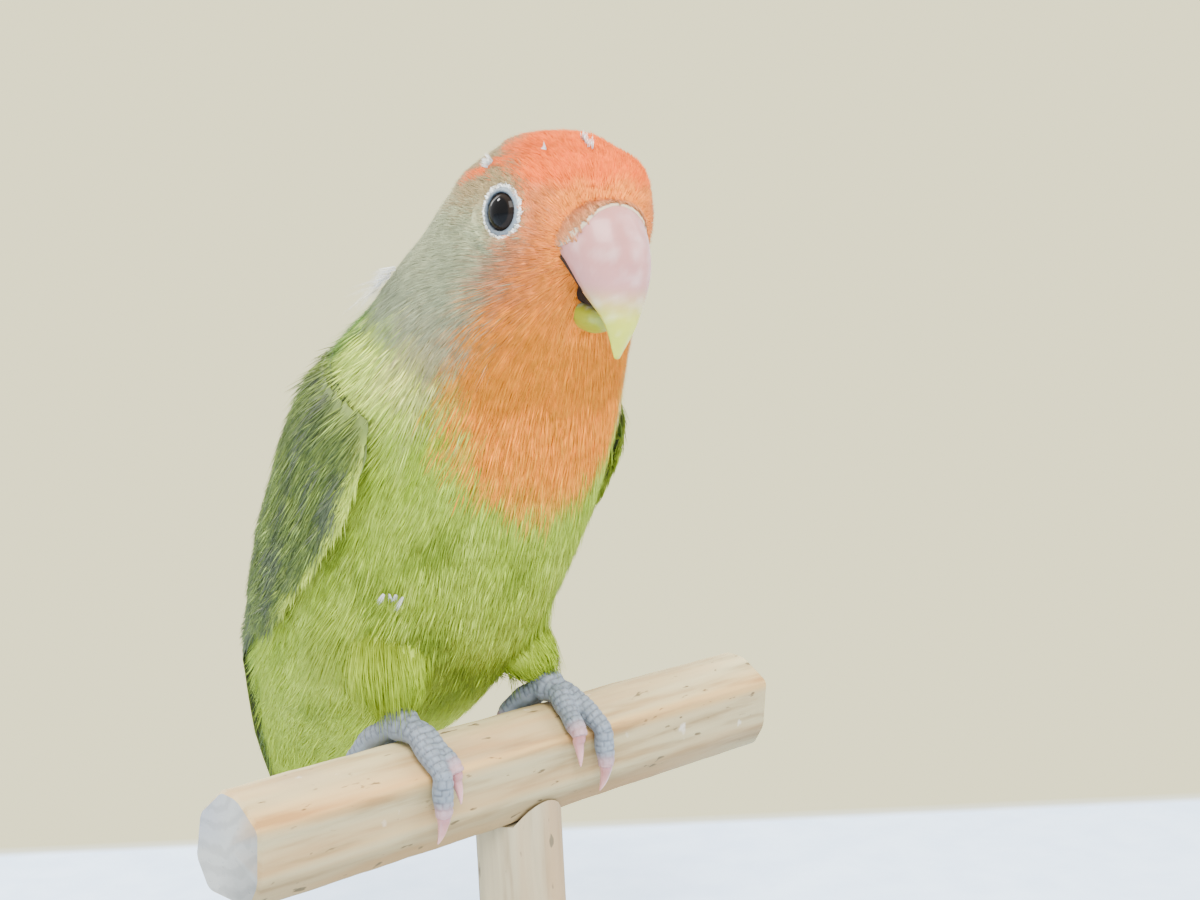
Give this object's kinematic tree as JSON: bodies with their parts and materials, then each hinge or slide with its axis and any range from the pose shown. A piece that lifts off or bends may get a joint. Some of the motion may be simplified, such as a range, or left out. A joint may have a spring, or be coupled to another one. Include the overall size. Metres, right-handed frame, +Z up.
{
  "type": "peach-faced lovebird on a perch",
  "caption": "Life-size still model of a small orange-faced green parrot gripping a short cut length of wooden bar, held by a plain post and round base.",
  "frame": {"origin": "centre of the underside of the stand's round base", "axes": "+Z up; the perch bar runs along X; the bird faces -Y, turned 7 degrees towards its own right, which is -X"},
  "size_m": [0.101, 0.1043, 0.134],
  "materials": {
    "face_feathers": "soft feathers, orange forehead and salmon cheeks",
    "body_feathers": "soft yellow-green feathers with an orange bib",
    "wing_feathers": "olive green feathers with dark shafts and pale edges",
    "tail_feathers": "green feathers with orange and dark bands",
    "foot_skin": "matte blue-grey scaled skin",
    "claw": "smooth pink horn",
    "bill": "satin pinkish horn with a yellow-green tip",
    "cere": "matte pale skin",
    "eye": "wet black",
    "perch_wood": "bare hand-planed softwood",
    "post_wood": "bare turned softwood",
    "base_paint": "matte pale grey paint on wood"
  },
  "bodies": {
    "root": {"head": "face_feathers", "neck": "face_feathers", "torso": "body_feathers", "leg_right": "body_feathers", "leg_left": "body_feathers", "wing_right": "wing_feathers", "wing_left": "wing_feathers", "tail": "tail_feathers", "foot_right": "foot_skin", "foot_left": "foot_skin", "claw_right_1": "claw", "claw_right_2": "claw", "claw_right_3": "claw", "claw_right_4": "claw", "claw_left_1": "claw", "claw_left_2": "claw", "claw_left_3": "claw", "claw_left_4": "claw", "bill_upper": "bill", "bill_lower": "bill", "cere": "cere", "eye_right": "eye", "eye_left": "eye", "perch": "perch_wood", "stand_post": "post_wood", "stand_base": "base_paint"}
  },
  "joints": []
}
